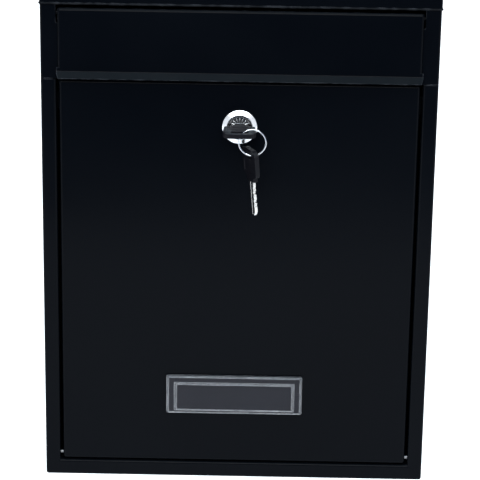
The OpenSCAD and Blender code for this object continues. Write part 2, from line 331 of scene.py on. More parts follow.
def newGroup(name, kind, inputs, outputs, outputKind="Float"):
    # inputs is a dictionary of names and default values, and a value's type picks the socket's kind
    tree = bpy.data.node_groups.new(name, kind)
    for label, value in inputs.items():
        socketKind = {int: "Int", float: "Float", tuple: "Vector"}[type(value)]
        socket = tree.interface.new_socket(label, in_out="INPUT", socket_type="NodeSocket" + socketKind)
        socket.default_value = value
    for label in outputs:
        tree.interface.new_socket(label, in_out="OUTPUT", socket_type="NodeSocket" + outputKind)
    return tree, addNode(tree, "NodeGroupInput"), addNode(tree, "NodeGroupOutput")


def objectPlace(tree):
    return addNode(tree, "ShaderNodeTexCoord").outputs["Object"]


def mathNode(tree, operation, a, b=None, clamp=False):
    node = addNode(tree, "ShaderNodeMath", operation=operation, use_clamp=clamp)
    for i, value in enumerate((a, b)):
        if value is None:
            continue
        if isinstance(value, (int, float)):
            node.inputs[i].default_value = value
        else:
            feed(tree, value, node.inputs[i])
    return node.outputs[0]


def rangeNode(tree, value, low, high, toLow=0, toHigh=1):
    node = addNode(tree, "ShaderNodeMapRange")
    feed(tree, value, node.inputs["Value"])
    for label, number in (("From Min", low), ("From Max", high), ("To Min", toLow), ("To Max", toHigh)):
        if isinstance(number, (int, float)):
            node.inputs[label].default_value = number
        else:
            feed(tree, number, node.inputs[label])
    return node.outputs["Result"]


def noiseNode(tree, place, scale, detail=3):
    node = addNode(tree, "ShaderNodeTexNoise")
    feed(tree, place, node.inputs["Vector"])
    node.inputs["Detail"].default_value = detail
    if isinstance(scale, (int, float)):
        node.inputs["Scale"].default_value = scale
    else:
        feed(tree, scale, node.inputs["Scale"])
    return node.outputs["Fac"]


# Shared effects

def makeCoatGrain():
    # The orange peel of sprayed powder, with slow patches of a thicker and a thinner coat
    tree, ins, outs = newGroup("coatGrain", "ShaderNodeTree", {"Scale": 900.0, "Patch Scale": 14.0},
                               ["Height", "Patch"])
    place = objectPlace(tree)
    fine = noiseNode(tree, place, ins.outputs["Scale"], 2)
    slow = noiseNode(tree, place, ins.outputs["Patch Scale"], 3)
    feed(tree, fine, outs.inputs["Height"])
    feed(tree, rangeNode(tree, slow, 0.3, 0.7), outs.inputs["Patch"])
    return tree


def makeEdgeWearAndHighlight():
    # Where the rounded normal leaves the true one, the surface is an edge; noise breaks it up. The mask
    # paints both real rubbed wear and a painted highlight along the edges
    tree, ins, outs = newGroup("edgeWearAndHighlight", "ShaderNodeTree",
                               {"Width": 0.8 * mm, "Amount": 1.0, "Broken": 1.0}, ["Mask"])
    soft = addNode(tree, "ShaderNodeBevel", samples=4)
    feed(tree, ins.outputs["Width"], soft.inputs["Radius"])
    flat = addNode(tree, "ShaderNodeNewGeometry")
    dot = addNode(tree, "ShaderNodeVectorMath", operation="DOT_PRODUCT")
    feed(tree, soft.outputs["Normal"], dot.inputs[0])
    feed(tree, flat.outputs["Normal"], dot.inputs[1])
    edge = rangeNode(tree, dot.outputs["Value"], 0.995, 0.86)
    whole = mathNode(tree, "SUBTRACT", 1, ins.outputs["Broken"])
    broken = rangeNode(tree, noiseNode(tree, objectPlace(tree), 160, 4), 0.42, 0.62, whole, 1)
    mask = mathNode(tree, "MULTIPLY", mathNode(tree, "MULTIPLY", edge, broken), ins.outputs["Amount"], True)
    feed(tree, mask, outs.inputs["Mask"])
    return tree


def makeSettledDust():
    # Dust lies on what faces up, thicker in slow patches
    tree, ins, outs = newGroup("settledDust", "ShaderNodeTree", {"Amount": 0.2, "Scale": 60.0}, ["Mask"])
    split = addNode(tree, "ShaderNodeSeparateXYZ")
    feed(tree, addNode(tree, "ShaderNodeNewGeometry").outputs["Normal"], split.inputs[0])
    upward = rangeNode(tree, split.outputs["Z"], 0.1, 1, 0.04, 1)
    specks = rangeNode(tree, noiseNode(tree, objectPlace(tree), ins.outputs["Scale"], 6), 0.4, 0.75)
    mask = mathNode(tree, "MULTIPLY", mathNode(tree, "MULTIPLY", upward, specks), ins.outputs["Amount"], True)
    feed(tree, mask, outs.inputs["Mask"])
    return tree


def makeDrawnLines():
    # Fine lines along one axis, left by drawing or polishing
    tree, ins, outs = newGroup("drawnLines", "ShaderNodeTree", {"Stretch": (30, 1500, 1500)},
                               ["Height", "Stain"])
    place = objectPlace(tree)
    stretch = addNode(tree, "ShaderNodeVectorMath", operation="MULTIPLY")
    feed(tree, place, stretch.inputs[0])
    feed(tree, ins.outputs["Stretch"], stretch.inputs[1])
    feed(tree, noiseNode(tree, stretch.outputs["Vector"], 1, 2), outs.inputs["Height"])
    feed(tree, rangeNode(tree, noiseNode(tree, place, 120, 4), 0.35, 0.7), outs.inputs["Stain"])
    return tree


dustLook = {"paint": (0.09, 0.088, 0.082), "metal": (0.2, 0.19, 0.17), "dulls": 0.5}
coatGrain = makeCoatGrain()
edgeWearAndHighlight = makeEdgeWearAndHighlight()
settledDust = makeSettledDust()
drawnLines = makeDrawnLines()


# Materials

def newMaterial(name, look):
    material = bpy.data.materials.new(name)
    material.use_nodes = True
    tree = material.node_tree
    shader = tree.nodes["Principled BSDF"]
    shader.inputs["Base Color"].default_value = (*look["colour"], 1)
    for label in ("Metallic", "Roughness", "IOR", "Specular IOR Level", "Coat Weight",
                  "Coat Roughness", "Transmission Weight"):
        if label in look:
            shader.inputs[label].default_value = look[label]
    material.diffuse_color = (*look["colour"], 1)
    return material, tree, shader


def useGroup(tree, group, **values):
    node = addNode(tree, "ShaderNodeGroup", node_tree=group)
    for label, value in values.items():
        node.inputs[label.replace("_", " ")].default_value = value
    return node


def mixColour(tree, mask, first, second):
    node = addNode(tree, "ShaderNodeMix", data_type="RGBA")
    feed(tree, mask, node.inputs["Factor"])
    for socket, value in ((node.inputs[6], first), (node.inputs[7], second)):
        if isinstance(value, tuple):
            socket.default_value = (*value, 1)
        else:
            feed(tree, value, socket)
    return node.outputs[2]


def bumpFrom(tree, shader, height, distance, strength):
    bump = addNode(tree, "ShaderNodeBump")
    bump.inputs["Distance"].default_value = distance
    bump.inputs["Strength"].default_value = strength
    feed(tree, height, bump.inputs["Height"])
    feed(tree, bump.outputs["Normal"], shader.inputs["Normal"])


def paintMaterial(name, look):
    material, tree, shader = newMaterial(name, look)
    grain = useGroup(tree, coatGrain, Scale=look["grain"], Patch_Scale=look["patch"])
    wearAndHighlight = useGroup(tree, edgeWearAndHighlight, Width=look["wearAndHighlightWidth"], Amount=look["wearAndHighlight"])
    dust = useGroup(tree, settledDust, Amount=look["dust"], Scale=70)
    coat = mixColour(tree, grain.outputs["Patch"], look["colour"], look["thin"])
    # the edges are painted paler: partly rubbed wear, partly a painted highlight along the folds
    wornAndHighlit = mixColour(tree, wearAndHighlight.outputs["Mask"], coat, look["rubbedAndHighlight"])
    dusty = mixColour(tree, dust.outputs["Mask"], wornAndHighlit, dustLook["paint"])
    feed(tree, dusty, shader.inputs["Base Color"])
    low, high = look["roughness"]
    rough = rangeNode(tree, grain.outputs["Patch"], 0, 1, low, high)
    dulled = mathNode(tree, "MULTIPLY", dust.outputs["Mask"], dustLook["dulls"])
    rough = mathNode(tree, "ADD", rough, dulled, True)
    feed(tree, rough, shader.inputs["Roughness"])
    bumpFrom(tree, shader, grain.outputs["Height"], look["peel"], 0.35)
    return material


chromeLook = {"colour": (0.83, 0.84, 0.86), "stain": (0.68, 0.69, 0.72), "Metallic": 1, "dust": 0.03,
              "roughness": (0.06, 0.14), "stretch": (900, 60, 900), "lineDepth": 0.004 * mm}


def metalMaterial(name, **changes):
    # Any metal here is the chrome look with a few values changed
    look = {**chromeLook, **changes}
    material, tree, shader = newMaterial(name, look)
    lines = useGroup(tree, drawnLines, Stretch=look["stretch"])
    dust = useGroup(tree, settledDust, Amount=look["dust"], Scale=150)
    stained = mixColour(tree, lines.outputs["Stain"], look["colour"], look["stain"])
    feed(tree, mixColour(tree, dust.outputs["Mask"], stained, dustLook["metal"]), shader.inputs["Base Color"])
    low, high = look["roughness"]
    feed(tree, rangeNode(tree, lines.outputs["Stain"], 0, 1, low, high), shader.inputs["Roughness"])
    bumpFrom(tree, shader, lines.outputs["Height"], look["lineDepth"], 0.3)
    return material


mouldedLook = {"patch": 90, "edgeWidth": 0.6 * mm, "broken": 1, "bump": 0.3}


def mouldedMaterial(name, changes):
    # Moulded plastic and card, paler where an edge catches the light
    look = {**mouldedLook, **changes}
    material, tree, shader = newMaterial(name, look)
    grain = useGroup(tree, coatGrain, Scale=look["grain"], Patch_Scale=look["patch"])
    edge = useGroup(tree, edgeWearAndHighlight, Width=look["edgeWidth"], Amount=look["wearAndHighlight"], Broken=look["broken"])
    body = mixColour(tree, grain.outputs["Patch"], look["colour"], look["thin"])
    feed(tree, mixColour(tree, edge.outputs["Mask"], body, look["rubbedAndHighlight"]), shader.inputs["Base Color"])
    low, high = look["roughness"]
    feed(tree, rangeNode(tree, grain.outputs["Patch"], 0, 1, low, high), shader.inputs["Roughness"])
    bumpFrom(tree, shader, grain.outputs["Height"], look["peel"], look["bump"])
    return material


# the rubbed colour is the edges' paler colour, partly wear and partly a painted highlight
paintLook = {"colour": (0.0009, 0.0013, 0.0022), "thin": (0.0013, 0.0018, 0.0028),
             "rubbedAndHighlight": (0.046, 0.050, 0.058), "roughness": (0.15, 0.21), "Specular IOR Level": 0.036,
             "grain": 900, "patch": 12, "peel": 0.03 * mm, "wearAndHighlight": 0.8, "wearAndHighlightWidth": 0.8 * mm, "dust": 0.012}
casingPaint = paintMaterial("casingPowderCoat", {**paintLook, "dust": 0.016})
flapPaint = paintMaterial("flapPowderCoat", paintLook)
doorPaint = paintMaterial("doorPowderCoat", {**paintLook, "patch": 7})

lockChrome = metalMaterial("polishedChrome", colour=(0.78, 0.79, 0.80), stain=(0.55, 0.56, 0.57),
                           roughness=(0.16, 0.26))
plugChrome = metalMaterial("darkenedChrome", colour=(0.20, 0.21, 0.22), stain=(0.12, 0.125, 0.13),
                           roughness=(0.16, 0.28))
pinSteel = metalMaterial("oiledSteel", colour=(0.20, 0.20, 0.21), stain=(0.11, 0.11, 0.11),
                         roughness=(0.3, 0.45), stretch=(30, 1500, 1500))
keyNickel = metalMaterial("keyNickel", colour=(0.62, 0.61, 0.59), stain=(0.44, 0.43, 0.40),
                          roughness=(0.12, 0.24), stretch=(1200, 1200, 60), lineDepth=0.01 * mm)
ringNickel = metalMaterial("ringNickel", colour=(0.84, 0.84, 0.83), roughness=(0.08, 0.18))
drawnSteel = metalMaterial("drawnSteel", colour=(0.56, 0.56, 0.57), stain=(0.4, 0.39, 0.38),
                           roughness=(0.25, 0.42), stretch=(30, 1500, 1500), lineDepth=0.02 * mm)
zincPlate = metalMaterial("zincPlate", colour=(0.55, 0.56, 0.58), stain=(0.44, 0.43, 0.36),
                          roughness=(0.3, 0.46), stretch=(150, 150, 150), lineDepth=0.02 * mm)
waferBrass = metalMaterial("waferBrass", colour=(0.62, 0.44, 0.17), stain=(0.42, 0.27, 0.09),
                           roughness=(0.25, 0.4))
keyPlastic = mouldedMaterial("keyPlastic", {
    "colour": (0.0022, 0.0022, 0.0036), "thin": (0.0034, 0.0034, 0.0050), "rubbedAndHighlight": (0.045, 0.045, 0.052),
    "roughness": (0.34, 0.46), "Specular IOR Level": 0.1, "grain": 2600, "peel": 0.05 * mm, "wearAndHighlight": 0.35})
cardStock = mouldedMaterial("cardStock", {
    "colour": (0.012, 0.014, 0.020), "thin": (0.016, 0.018, 0.025), "rubbedAndHighlight": (0.05, 0.05, 0.06),
    "roughness": (0.6, 0.75), "grain": 3500, "peel": 0.04 * mm, "wearAndHighlight": 0.3})
# the near-white edge colour is a painted highlight along the moulding's rims and ridges
clearPlastic = mouldedMaterial("clearMoulding", {
    "colour": (0.008, 0.0085, 0.013), "thin": (0.011, 0.0115, 0.017), "rubbedAndHighlight": (0.92, 0.94, 0.97),
    "broken": 0.25, "Metallic": 0, "Transmission Weight": 0.35, "IOR": 1.3, "Specular IOR Level": 0.3,
    "roughness": (0.08, 0.18), "grain": 500, "patch": 60, "peel": 0.02 * mm, "bump": 0.2, "wearAndHighlight": 1})
print("materials made")


# Casing: borders, side walls and bottom from one folded sheet

casing = {"cornerRadius": 1.8 * mm, "openingRadius": 0.8 * mm, "wallStart": 11.3 * mm,
          "pinRadius": 1.22 * mm, "headPlay": 0.02 * mm, "pinReach": 3 * mm, "headReach": 4 * mm,
          "borderFold": 8 * mm, "sideBorder": 10.2 * mm, "bottomBorder": 11.2 * mm, "seamGap": 0.4 * mm,
          "bevel": 0.32 * mm}
headerLow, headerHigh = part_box("header_frame")
seamZ = headerLow.z
pinLow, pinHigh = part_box("door_pins")
hinge = (pinLow + pinHigh) / 2
caseDepth = casingHigh.y - frontY


def makeCasing():
    border = casing["sideBorder"]
    opening = halfWidth - border
    path = [(opening, casing["borderFold"]), (opening, 0), (halfWidth, 0), (halfWidth, caseDepth)]
    outer = sheetFace(path, 0)
    inner = sheetFace(path, sheet["thickness"])
    seamTop = seamZ - casing["seamGap"]
    step = casing["wallStart"]
    section = []
    for face in (outer, inner):
        x = face[-1].x
        borderPart = [(p, seamTop) for p in face[:-1]]
        wall = [(Vector((x, step)), seamTop), (Vector((x, step)), casingHigh.z), (face[-1], casingHigh.z)]
        section.append(borderPart + wall)
    rows = []
    for p, top in section[0] + section[1][::-1]:
        inset = halfWidth - p.x
        atOpening = inset > border / 2
        rise = inset + (casing["bottomBorder"] - border if atOpening else 0)
        radius = casing["openingRadius"] if atOpening else insetRadius(inset, casing["cornerRadius"])
        half = [Vector((-p.x, top)), Vector((-p.x, seamTop))]
        outline = mirrored(half + roundCorner(-p.x, floorZ + rise, 1, radius))
        rows.append([(q.x, frontY + p.y, q.y) for q in outline])
    made = toObject(makeStrip(rows), "casingSheet")
    headRadius = (pinHigh.z - pinLow.z) / 2 + casing["headPlay"]
    headX = opening + sheet["thickness"] + casing["headReach"] / 2
    cutters = []
    for side in (-1, 1):
        for x, radius, reach in ((opening, casing["pinRadius"], casing["pinReach"]),
                                 (headX, headRadius, casing["headReach"])):
            cutters.append(rod((side * x, hinge.y, hinge.z), (1, 0, 0), radius, reach))
    made = combine(made, cutters, "DIFFERENCE")
    return finishPiece(made, "casingSheet", casingPaint, "root", ["casing_shell"],
                       casing["bevel"], 3)


makeCasing()
print("casing made")


# Roof: a shallow tray, open at the back, whose lips hang over the header and the walls

roof = {"hem": 0.55 * mm, "hemSteps": 8, "faceInset": 6 * mm}
roofLow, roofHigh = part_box("roof_lid")


def makeRoof():
    half, depth, lip = roofHigh.x, roofHigh.y - roofLow.y, roofHigh.z - roofLow.z
    # the lower edge is rolled outwards a little, so the wall above it is set in by as much
    hem = roof["hem"]
    turns = [i / roof["hemSteps"] * pi for i in range(roof["hemSteps"] + 1)]
    bead = [(hem * (1 - sin(a)), lip - hem * (1 - cos(a))) for a in turns]
    rows = []
    for inset, drop in traySection(bead, roof["faceInset"], hem):
        left = -half + inset
        outline = mirrored([Vector((left, depth))] + roundCorner(left, inset, 1, insetRadius(inset)))
        rows.append([(q.x, roofLow.y + q.y, roofHigh.z - drop) for q in outline])
    return finishPiece(toObject(makeTray(rows, False), "roofCover"), "roofCover", casingPaint, "root",
                       ["roof_lid"])


makeRoof()
print("roof made")


# Header: the panel over the door, with the letter slot and room for the flap

header = {"sideDepth": 11 * mm, "lap": 11 * mm, "joggle": (1.8 * mm, 0.4 * mm), "slotHalf": 112 * mm,
          "notchHalf": 119.6 * mm, "sill": 12 * mm, "notchTop": 336.05 * mm, "notchLow": 322.4 * mm}


def makeHeader():
    inner = halfWidth - sheet["thickness"]
    joggleStart, joggleEnd = (header["sideDepth"] - back for back in header["joggle"])
    right = [(halfWidth, 0), (halfWidth, joggleStart), (inner, joggleEnd),
             (inner, header["sideDepth"] + header["lap"])]
    path = [(-x, y) for x, y in right[::-1]] + right
    bm = extrudeSheet(path, lambda p, z: Vector((p.x, frontY + p.y, z)), headerLow.z, headerHigh.z)
    top = floorZ + header["notchTop"]
    cutters = []
    for half, low in ((header["slotHalf"], seamZ + header["sill"]),
                      (header["notchHalf"], floorZ + header["notchLow"])):
        cutters.append(box((-half, frontY - 1 * mm, low), (half, frontY + 3 * mm, top)))
    made = combine(toObject(bm, "headerSheet"), cutters, "DIFFERENCE")
    return finishPiece(made, "headerSheet", casingPaint, "root", ["header_frame"])


makeHeader()
print("header made")


# Letter flap: folded edges on three sides, a finger lip below, and an ear at each end of the rod

flap = {"width": 237 * mm, "proud": 2.4 * mm, "edge": 2 * mm, "faceInset": 5 * mm, "lipDrop": 3.9 * mm,
        "lipOver": 0.9 * mm, "relief": 2.2 * mm, "lipLap": 0.3 * mm,
        "earBack": 2.4 * mm, "earBelow": 4 * mm, "earAbove": 3 * mm, "earLap": 0.6 * mm,
        "rodBack": 3.2 * mm, "rodHeight": 328.6 * mm, "holeRadius": 1.55 * mm, "bevel": 0.15 * mm}
flapLow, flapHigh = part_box("flap_panel")


def makeFlapTray(half, low):
    rows = []
    for inset, depth in traySection([(0, flap["edge"])], flap["faceInset"]):
        left = -half + inset
        corner = roundCorner(left, flapHigh.z - inset, -1, insetRadius(inset))
        outline = mirrored([Vector((left, low + flap["relief"]))] + corner)
        rows.append([(q.x, frontY - flap["proud"] + depth, q.y) for q in outline])
    return toObject(makeTray(rows, False), "flapSheet")


def makeFlapLip(half, low):
    proud, drop = flap["proud"], flap["lipDrop"]
    path = [(-proud, low + flap["relief"] + flap["lipLap"]), (-proud, low), (-proud - drop, low - drop)]
    wide = half + flap["lipOver"]
    bm = extrudeSheet(path, lambda p, x: Vector((x, frontY + p.x, p.y)), -wide, wide)
    # the lip's ends are cut back at a slant
    cutters = []
    for side in (-1, 1):
        far, high, deep = side * (wide + 3 * mm), low - 1 * mm, low - 9 * mm
        slant = [(side * wide, high), (far, high), (far, deep), (side * (wide - 3.2 * mm), deep)]
        cutters.append(toObject(extrude(slant, standing, frontY - 14 * mm, frontY + 4 * mm), "cutter"))
    return combine(toObject(bm, "lipStrip"), cutters, "DIFFERENCE")


def makeFlap():
    half = flap["width"] / 2
    low = flapLow.z + flap["lipDrop"]
    rodZ = floorZ + flap["rodHeight"]
    ears = []
    for side in (-1, 1):
        edges = (side * half, side * (half - sheet["thickness"]))
        earFront = frontY + flap["edge"] - flap["proud"] - flap["earLap"]
        ears.append(box((min(edges), earFront, rodZ - flap["earBelow"]),
                        (max(edges), frontY + flap["rodBack"] + flap["earBack"], rodZ + flap["earAbove"])))
    made = combine(makeFlapTray(half, low), [makeFlapLip(half, low)] + ears, "UNION")
    rodHole = rod((0, frontY + flap["rodBack"], rodZ), (1, 0, 0), flap["holeRadius"], 260 * mm)
    made = combine(made, [rodHole], "DIFFERENCE")
    return finishPiece(made, "flapSheet", flapPaint, "flap", ["flap_panel"], flap["bevel"])


makeFlap()
print("flap made")


# Door: a shallow closed tray with holes for the hinge pins, the lock and the name plate studs

door = {"fold": 9 * mm, "faceInset": 6 * mm, "pinHole": 1.25 * mm, "lockX": 0.5 * mm,
        "lockHeight": 254.4 * mm, "barrelRadius": 9.15 * mm, "barrelFlat": 8.15 * mm, "studX": 43.2 * mm,
        "studHole": 1.6 * mm, "plateX": -0.5 * mm, "plateHeight": 62.9 * mm}
lockCentre = (door["lockX"], floorZ + door["lockHeight"])


def makeDoor():
    rows = []
    for inset, depth in traySection([(0, door["fold"])], door["faceInset"]):
        outline = roundedRectangle(doorLow.x + inset, doorLow.z + inset, doorHigh.x - inset,
                                   doorHigh.z - inset, insetRadius(inset))
        rows.append([(q.x, frontY + depth, q.y) for q in outline])
    cutters = [rod((0, hinge.y, hinge.z), (1, 0, 0), door["pinHole"], 260 * mm)]
    x, z = lockCentre
    flat, radius = door["barrelFlat"], door["barrelRadius"]
    hole = [(x + max(-flat, min(flat, radius * cos(a))), z + radius * sin(a))
            for a in [2 * pi * i / 64 for i in range(64)]]
    cutters.append(toObject(extrude(hole, standing, frontY - 3 * mm, frontY + 3 * mm), "cutter"))
    for side in (-1, 1):
        centre = (door["plateX"] + side * door["studX"], frontY, floorZ + door["plateHeight"])
        cutters.append(rod(centre, (0, 1, 0), door["studHole"], 5 * mm))
    made = combine(toObject(makeTray(rows, True), "doorSheet"), cutters, "DIFFERENCE")
    return finishPiece(made, "doorSheet", doorPaint, "door", ["door_panel"])


makeDoor()
print("door made")


# Lock: a chrome flange with a dished face, a threaded barrel and a plug with pressed ribs

lock = {"flangeRadius": 11.55 * mm, "rim": 3.2 * mm, "rimSlope": 1.7 * mm, "rimInner": 7.75 * mm,
        "rimRound": 0.45 * mm, "browRound": 0.95 * mm, "dishRadius": 7.2 * mm, "dishFloor": 1.4 * mm,
        "dishTaper": 0.1 * mm, "boreRadius": 6.56 * mm, "barrel": 25 * mm, "barrelRadius": 9 * mm,
        "barrelEnd": 8.5 * mm, "flatHalf": 8 * mm, "threadStart": 0.4 * mm, "threadPitch": 1.2 * mm,
        "threadDepth": 0.35 * mm, "bareBarrel": 5 * mm}
plug = {"radius": 6.5 * mm, "proud": 0.4 * mm, "middle": 0.3 * mm, "core": 0.6 * mm, "driveHalf": 3.2 * mm,
        "shroudX": 4.5 * mm, "shroudZ": 2.3 * mm, "shroudRise": 0.32 * mm, "slotPlay": 0.25 * mm,
        "slotHalf": 1.2 * mm, "slotDepth": 23.5 * mm, "screwRadius": 2 * mm, "screwMiddle": 1.5 * mm,
        "bevel": 0.12 * mm}
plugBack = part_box("lock_plug")[1].y
bladeLow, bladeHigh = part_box("key_blade")
bladeHalf = (bladeHigh.x - bladeLow.x) / 2


def onLock(p, proud):
    return Vector((lockCentre[0] + p[0], frontY - proud, lockCentre[1] + p[1]))


def lockBox(halfX, halfZ, frontFace, backFace):
    # A block centred on the lock's axis, from one distance behind the door's face to another
    x, z = lockCentre
    return box((x - halfX, frontY + frontFace, z - halfZ), (x + halfX, frontY + backFace, z + halfZ))


def makeLockFlange():
    r, end = lock["flangeRadius"], lock["barrel"]
    # the rim slopes up to a rounded edge, then drops into the dish
    foot, shoulder = Vector((r, 0)), Vector((r, lock["rim"] - lock["rimSlope"]))
    brow = Vector((lock["rimInner"], lock["rim"]))
    dish = Vector((lock["dishRadius"] - lock["dishTaper"], lock["dishFloor"]))
    profile = [foot] + bend(foot, shoulder, brow, 0, 0, lock["rimRound"], 8)
    profile += bend(shoulder, brow, dish, 0, 0, lock["browRound"], 12)
    profile += [dish, (lock["boreRadius"], lock["dishFloor"]), (lock["boreRadius"], -end),
                (lock["barrelEnd"], -end)]
    for i in range(int((end - lock["bareBarrel"]) / lock["threadPitch"])):
        y = -end + lock["threadStart"] + i * lock["threadPitch"]
        profile += [(lock["barrelRadius"] - lock["threadDepth"], y),
                    (lock["barrelRadius"], y + lock["threadPitch"] / 2)]
    profile.append((lock["barrelRadius"], 0))

    def place(p, d):
        # behind the door the barrel has a flat on each side
        flat = lock["flatHalf"]
        behind = d < -0.001 * mm and abs(p[0]) > flat
        return onLock((max(-flat, min(flat, p[0])) if behind else p[0], p[1]), d)

    return finishPiece(toObject(lathe(profile, place), "lockFlange"), "lockFlange", lockChrome, "door",
                       ["lock_housing"], 0, sharp=30)


def makePlugFace():
    r, proud, end = plug["radius"], plug["proud"], lock["barrel"]
    profile = [(plug["middle"], proud), (r - 0.5 * mm, proud), (r - 0.1 * mm, proud - 0.1 * mm),
               (r, proud - 0.5 * mm), (r, -end), (plug["middle"], -end)]
    made = toObject(lathe(profile, onLock), "plugFace")
    core = rod(onLock((0, 0), (proud - end) / 2), (0, 1, 0), plug["core"], end + proud - 0.02 * mm)
    made = combine(made, [core], "UNION")
    drive = lockBox(plug["driveHalf"], plug["driveHalf"], end - 0.1 * mm, plugBack - frontY)
    shroud = lockBox(plug["shroudX"], plug["shroudZ"], -proud - plug["shroudRise"], 0)
    made = combine(made, [drive, shroud], "UNION")
    slot = lockBox(bladeHalf + plug["slotPlay"], plug["slotHalf"], -2 * mm, plug["slotDepth"])
    screwHole = rod(onLock((0, 0), -end - plug["screwMiddle"]), (0, 1, 0), plug["screwRadius"], 5 * mm)
    made = combine(made, [slot, screwHole], "DIFFERENCE")
    return finishPiece(made, "plugFace", plugChrome, "plug", ["lock_plug"], plug["bevel"])


# A fan of ribs round the lock's axis, as a node tree: one rib, copied round a circle

ribs = {"Count": 16, "Radius": 4.5 * mm, "Rib Length": 3.6 * mm, "Rib Width": 0.6 * mm,
        "Rib Height": 0.8 * mm}


def wireInputs(tree, ins, pairs, target):
    for label, socket in pairs:
        feed(tree, ins.outputs[label], target.inputs[socket])


def paintAndReturn(tree, outs, geometry, material):
    real = addNode(tree, "GeometryNodeRealizeInstances")
    feed(tree, geometry, real.inputs["Geometry"])
    paint = addNode(tree, "GeometryNodeSetMaterial")
    paint.inputs["Material"].default_value = material
    feed(tree, real.outputs["Geometry"], paint.inputs["Geometry"])
    feed(tree, paint.outputs["Geometry"], outs.inputs["Geometry"])


def ribTree(name, material):
    tree, ins, outs = newGroup(name, "GeometryNodeTree", ribs, ["Geometry"], "Geometry")
    circle = addNode(tree, "GeometryNodeMeshCircle")
    wireInputs(tree, ins, (("Count", "Vertices"), ("Radius", "Radius")), circle)
    size = addNode(tree, "ShaderNodeCombineXYZ")
    wireInputs(tree, ins, (("Rib Length", "X"), ("Rib Width", "Y"), ("Rib Height", "Z")), size)
    crown = addNode(tree, "GeometryNodeMeshUVSphere")
    for label, value in (("Segments", 12), ("Rings", 8), ("Radius", 0.5)):
        crown.inputs[label].default_value = value
    rib = addNode(tree, "GeometryNodeTransform")
    feed(tree, crown.outputs["Mesh"], rib.inputs["Geometry"])
    feed(tree, size.outputs["Vector"], rib.inputs["Scale"])
    spread = addNode(tree, "GeometryNodeInstanceOnPoints")
    feed(tree, circle.outputs["Mesh"], spread.inputs["Points"])
    feed(tree, rib.outputs["Geometry"], spread.inputs["Instance"])
    # each copy points away from the axis
    align = addNode(tree, "FunctionNodeAlignRotationToVector", axis="X")
    feed(tree, addNode(tree, "GeometryNodeInputPosition").outputs["Position"], align.inputs["Vector"])
    feed(tree, align.outputs["Rotation"], spread.inputs["Rotation"])
    paintAndReturn(tree, outs, spread.outputs["Instances"], material)
    return tree


def growFromNodes(name, tree, values, matrix):
    # Runs a node tree once and keeps the result as a plain mesh, put in place by matrix
    made = bpy.data.objects.new(name, bpy.data.meshes.new(name))
    bpy.context.scene.collection.objects.link(made)
    grow = made.modifiers.new(name, "NODES")
    grow.node_group = tree
    sockets = {s.name: s.identifier for s in tree.interface.items_tree if s.in_out == "INPUT"}
    for label, value in values.items():
        grow[sockets[label]] = value
    made = evaluated(made)
    made.data.transform(matrix)
    return made


def makeRibs():
    place = Matrix.Translation(onLock((0, 0), plug["proud"])) @ Matrix.Rotation(radians(90), 4, "X")
    made = growFromNodes("plugRibs", ribTree("plugRibsTree", lockChrome), ribs, place)
    return finishPiece(made, "plugRibs", lockChrome, "plug", [], 0)


makeLockFlange()
makePlugFace()
makeRibs()
print("lock made")


# Keys: a moulded grip with a split ring eye, and a nickel shank cut on both edges

key = {"length": 22 * mm, "half": 11.2 * mm, "thickness": 3 * mm, "neckHalf": 6 * mm, "neck": 3 * mm,
       "shoulder": 1 * mm, "shoulderDrop": 1.2 * mm, "eyeWidth": 12 * mm, "eyeLength": 4 * mm,
       "eyeRim": 3 * mm, "eyeRadius": 1.8 * mm, "panel": 0.35 * mm, "panelHalf": 8.4 * mm,
       "panelLow": 8.6 * mm, "panelHigh": 5.6 * mm, "panelRadius": 1.6 * mm, "gripBevel": 0.45 * mm,
       "bladeThickness": 1.9 * mm, "bladeLength": 24 * mm, "tip": 3 * mm, "tipHalf": 1 * mm,
       "proud": 0.8 * mm, "cuts": [0.6, 1.2, 0.3, 0.9, 0.6], "firstCut": 4.8 * mm, "cutPitch": 3 * mm,
       "groove": 0.25 * mm, "grooveHalf": 0.3 * mm, "grooveX": 0.9 * mm, "bladeBevel": 0.12 * mm}


def gripOutline():
    half, neck, start = key["half"], key["neckHalf"], -key["neck"]
    shoulder = (half - key["shoulder"], start - key["shoulderDrop"])
    right = [(half, -key["length"]), shoulder, (neck, start), (neck, 0)]
    left = [(-x, y) for x, y in right[::-1]]
    radii = [0.4, 0.8, 2, 5, 5, 2, 0.8, 0.4]
    return rounded(left + right, [r * mm for r in radii])


def makeGrip(name, nodeName, body, matrix):
    halfThick = key["thickness"] / 2
    made = toObject(extrude(gripOutline(), asDrawn, -halfThick, halfThick), name)
    eyeX, eyeLow = key["eyeWidth"] / 2, key["eyeRim"] - key["length"]
    eye = roundedRectangle(-eyeX, eyeLow, eyeX, eyeLow + key["eyeLength"], key["eyeRadius"])
    cutters = [toObject(extrude(eye, asDrawn, -5 * mm, 5 * mm), "cutter")]
    panel = roundedRectangle(-key["panelHalf"], key["panelLow"] - key["length"], key["panelHalf"],
                             -key["panelHigh"], key["panelRadius"])
    for side in (-1, 1):
        levels = (side * (halfThick - key["panel"]), side * 3 * mm)
        cutters.append(toObject(extrude(panel, asDrawn, min(levels), max(levels)), "cutter"))
    made = combine(made, cutters, "DIFFERENCE")
    made.data.transform(matrix)
    return finishPiece(made, name, keyPlastic, body, [nodeName], key["gripBevel"], 3)


